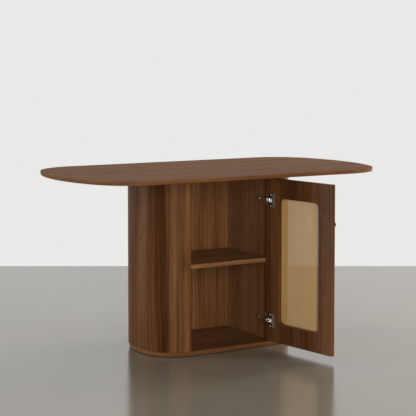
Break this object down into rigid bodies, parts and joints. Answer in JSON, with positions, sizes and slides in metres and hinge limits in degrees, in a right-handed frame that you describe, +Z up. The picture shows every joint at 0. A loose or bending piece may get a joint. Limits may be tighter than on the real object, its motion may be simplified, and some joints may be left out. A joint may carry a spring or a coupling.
{
  "type": "kitchen table with storage cabinet",
  "caption": "Oval-ended table on a round-ended storage pedestal with a shelf, and a cane-panelled door on concealed hinges.",
  "frame": {"origin": "floor level, under the middle of the tabletop and of the pedestal", "axes": "+Z up, +X along the table to the right of someone facing the door, -Y out of the cabinet's front"},
  "size_m": [1.4396, 0.9601, 0.76],
  "materials": {
    "top_veneer": "satin walnut veneer, grain along the table",
    "pedestal_veneer": "satin walnut veneer, upright grain",
    "inside_veneer": "satin walnut veneer, inside the cabinet",
    "door_veneer": "satin walnut veneer, upright grain",
    "base_veneer": "satin walnut edge band",
    "hidden_board": "raw fibreboard",
    "cane": "woven cane sheet",
    "spline_reed": "stained reed, satin",
    "knob_wood": "turned walnut, satin",
    "hinge_steel": "nickel plated",
    "screw_steel": "zinc plated",
    "glide_plastic": "dark plastic"
  },
  "bodies": {
    "pedestal": {"tabletop": "top_veneer", "cabinet_top": "inside_veneer", "base_plate": "base_veneer", "back_panel": "pedestal_veneer", "shelf": "inside_veneer", "floor_glides": "glide_plastic", "shelf_pins": "screw_steel", "base_screws": "screw_steel", "tabletop_screws": "screw_steel", "hinge_plate_screws": "screw_steel", "hinge_arm_screws": "screw_steel", "left_end_shell": "pedestal_veneer", "left_stile": "pedestal_veneer", "left_side_panel": "inside_veneer", "left_lower_former": "hidden_board", "left_middle_former": "hidden_board", "left_upper_former": "hidden_board", "right_end_shell": "pedestal_veneer", "right_stile": "pedestal_veneer", "right_side_panel": "inside_veneer", "right_lower_former": "hidden_board", "right_middle_former": "hidden_board", "right_upper_former": "hidden_board", "lower_hinge_plate": "hinge_steel", "lower_hinge_arm": "hinge_steel", "upper_hinge_plate": "hinge_steel", "upper_hinge_arm": "hinge_steel"},
    "door": {"door_frame": "door_veneer", "cane_panel": "cane", "cane_spline": "spline_reed", "door_knob": "knob_wood", "knob_screw": "screw_steel", "lower_hinge_cup": "hinge_steel", "upper_hinge_cup": "hinge_steel", "hinge_cup_screws": "screw_steel", "hinge_pins": "screw_steel"}
  },
  "joints": [
    {"name": "door_hinge", "type": "hinge", "parent": "pedestal", "child": "door", "pos_m": [0.189, -0.185, 0], "axis": [0, 0, 1], "range_deg": [-98.2, 1.8]}
  ]
}
